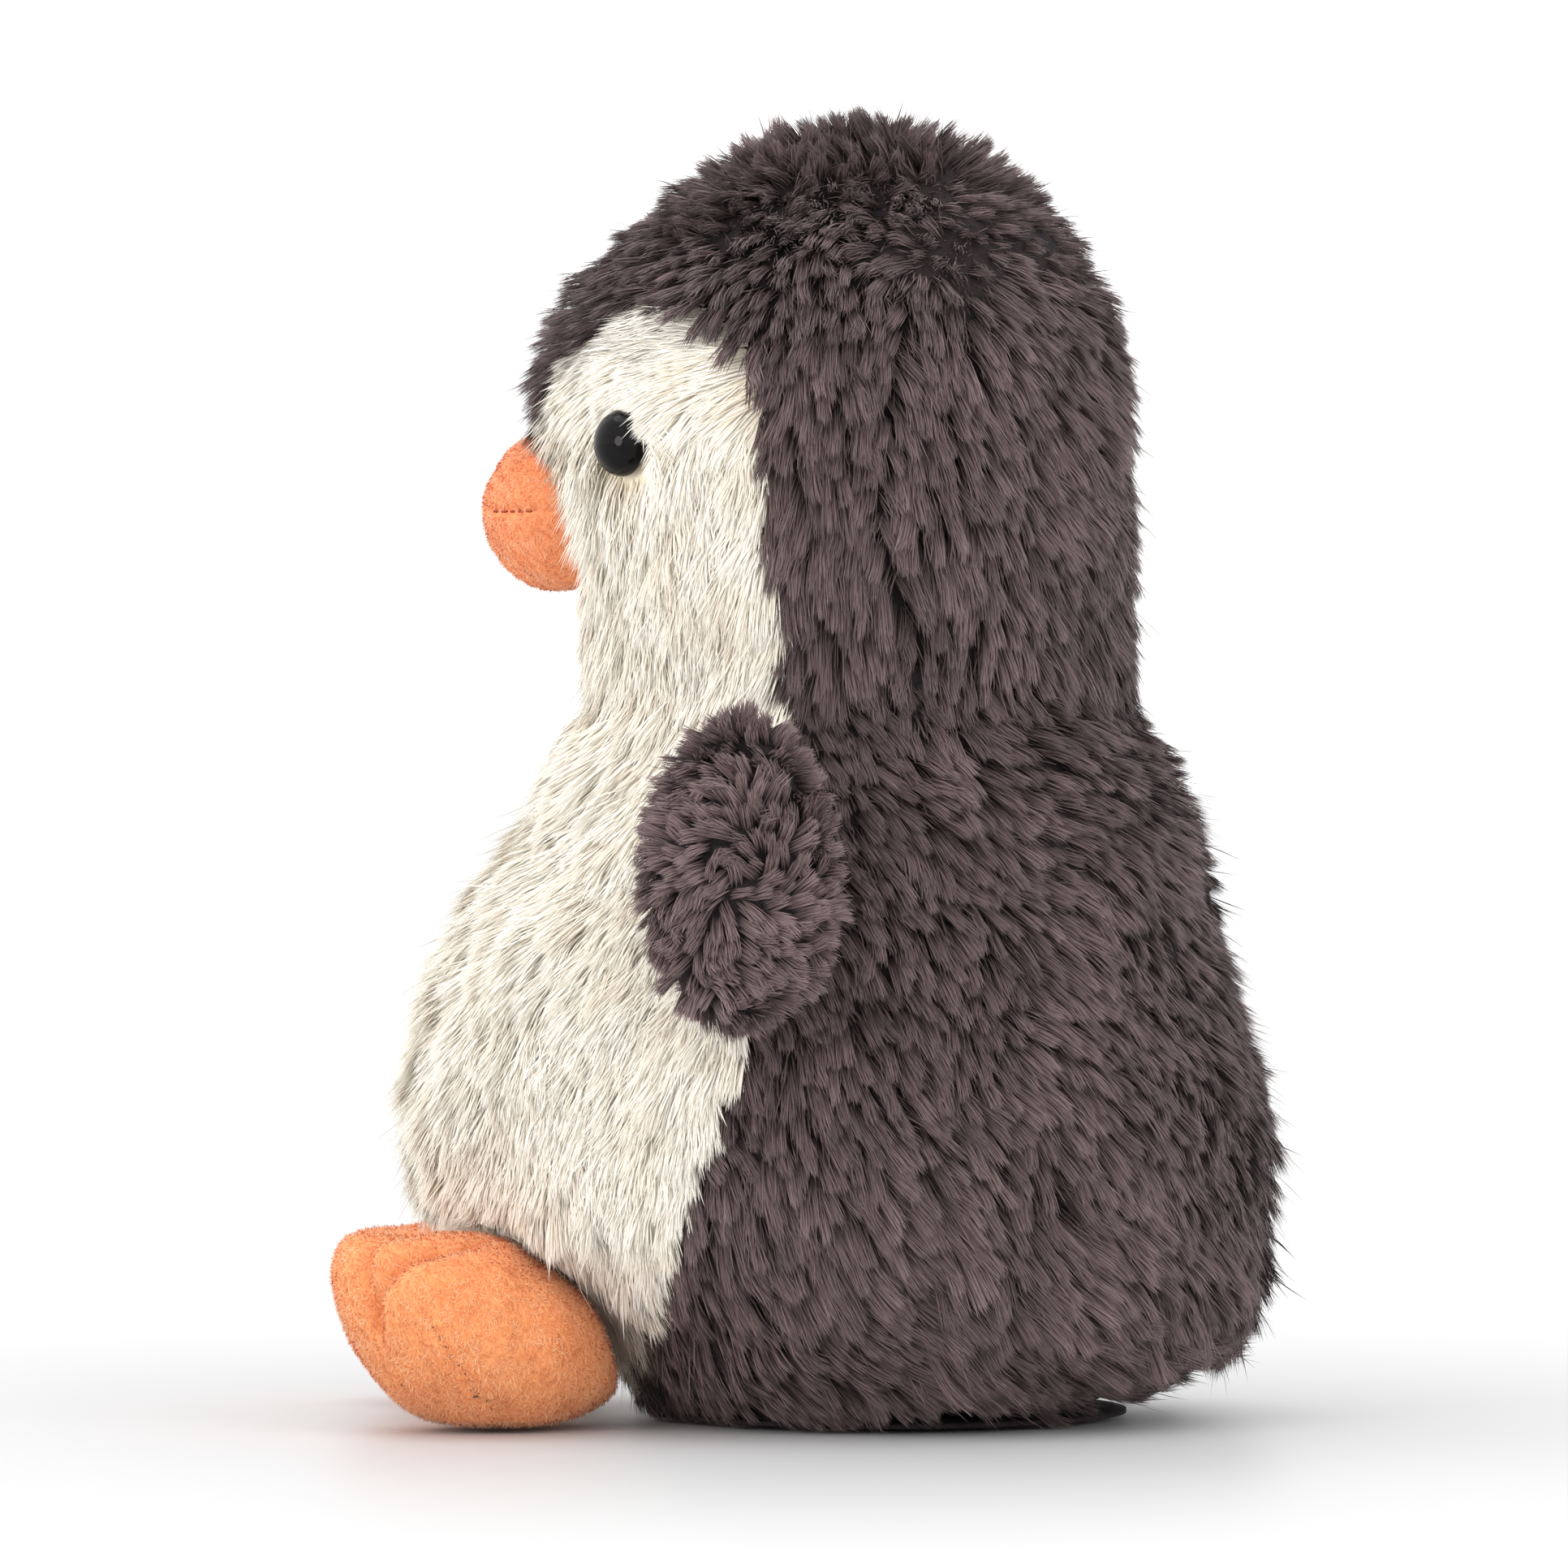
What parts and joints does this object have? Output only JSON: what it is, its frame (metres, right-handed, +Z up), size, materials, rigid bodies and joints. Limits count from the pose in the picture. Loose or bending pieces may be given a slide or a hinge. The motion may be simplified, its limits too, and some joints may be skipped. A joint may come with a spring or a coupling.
{
  "type": "plush penguin",
  "caption": "Seated plush penguin with a dark hood and back, ivory face and tummy, short wings, orange beak and feet.",
  "frame": {"origin": "on the floor under the middle of the toy's outline", "axes": "+Z up, the toy faces -Y, and its left side is +X"},
  "size_m": [0.1696, 0.1646, 0.23],
  "materials": {
    "dark_plush": "long-pile plush in a dark warm grey, in combed tufts",
    "ivory_plush": "long-pile plush in ivory, tan at the roots",
    "orange_plush": "short-pile plush in soft orange",
    "beak_plush": "short-pile plush in a deeper orange",
    "fibre": "white polyester fibre filling",
    "pouch_cloth": "woven cloth bag of plastic pellets",
    "eye_plastic": "glossy black moulded dome",
    "washer_plastic": "natural plastic",
    "mouth_thread": "dark brown sewing thread",
    "orange_thread": "orange sewing thread",
    "seam_thread": "dark sewing thread"
  },
  "bodies": {
    "torso": {"tummy_panel": "ivory_plush", "body_back_panel_left": "dark_plush", "body_back_panel_right": "dark_plush", "base_panel": "dark_plush", "body_stuffing": "fibre", "bean_pouch": "pouch_cloth", "back_seam_thread": "seam_thread"},
    "head": {"crown_panel": "dark_plush", "hood_side_panel_left": "dark_plush", "hood_side_panel_right": "dark_plush", "head_back_panel": "dark_plush", "face_panel_left": "ivory_plush", "face_panel_right": "ivory_plush", "head_stuffing": "fibre", "eye_left": "eye_plastic", "eye_right": "eye_plastic", "eye_washer_left": "washer_plastic", "eye_washer_right": "washer_plastic", "beak_upper": "beak_plush", "beak_lower": "beak_plush", "beak_stuffing": "fibre", "mouth_stitch": "mouth_thread"},
    "wing_left": {"wing_left_front_panel": "dark_plush", "wing_left_rear_panel": "dark_plush", "wing_left_stuffing": "fibre"},
    "foot_left": {"foot_left_top_panel": "orange_plush", "foot_left_sole_panel": "orange_plush", "foot_left_stuffing": "fibre", "foot_left_toe_stitch_inner": "orange_thread", "foot_left_toe_stitch_outer": "orange_thread"},
    "wing_right": {"wing_right_front_panel": "dark_plush", "wing_right_rear_panel": "dark_plush", "wing_right_stuffing": "fibre"},
    "foot_right": {"foot_right_top_panel": "orange_plush", "foot_right_sole_panel": "orange_plush", "foot_right_stuffing": "fibre", "foot_right_toe_stitch_inner": "orange_thread", "foot_right_toe_stitch_outer": "orange_thread"}
  },
  "joints": [
    {"name": "head_nod", "type": "hinge", "parent": "torso", "child": "head", "pos_m": [0, 0.0085, 0.095], "axis": [1, 0, 0], "range_deg": [-12, 15], "stiffness_Nm_per_rad": 0.5},
    {"name": "wing_left_swing", "type": "hinge", "parent": "torso", "child": "wing_left", "pos_m": [0.0567, -0.0108, 0.1024], "axis": [0.2739, 0, -0.9617], "range_deg": [-25, 40], "stiffness_Nm_per_rad": 0.04},
    {"name": "wing_right_swing", "type": "hinge", "parent": "torso", "child": "wing_right", "pos_m": [-0.0567, -0.0108, 0.1024], "axis": [0.2739, 0, 0.9617], "range_deg": [-25, 40], "stiffness_Nm_per_rad": 0.04},
    {"name": "foot_left_lift", "type": "hinge", "parent": "torso", "child": "foot_left", "pos_m": [0.033, -0.0365, 0.012], "axis": [-1, 0, 0], "range_deg": [0, 15], "stiffness_Nm_per_rad": 0.05},
    {"name": "foot_right_lift", "type": "hinge", "parent": "torso", "child": "foot_right", "pos_m": [-0.033, -0.0365, 0.012], "axis": [-1, 0, 0], "range_deg": [0, 15], "stiffness_Nm_per_rad": 0.05}
  ]
}
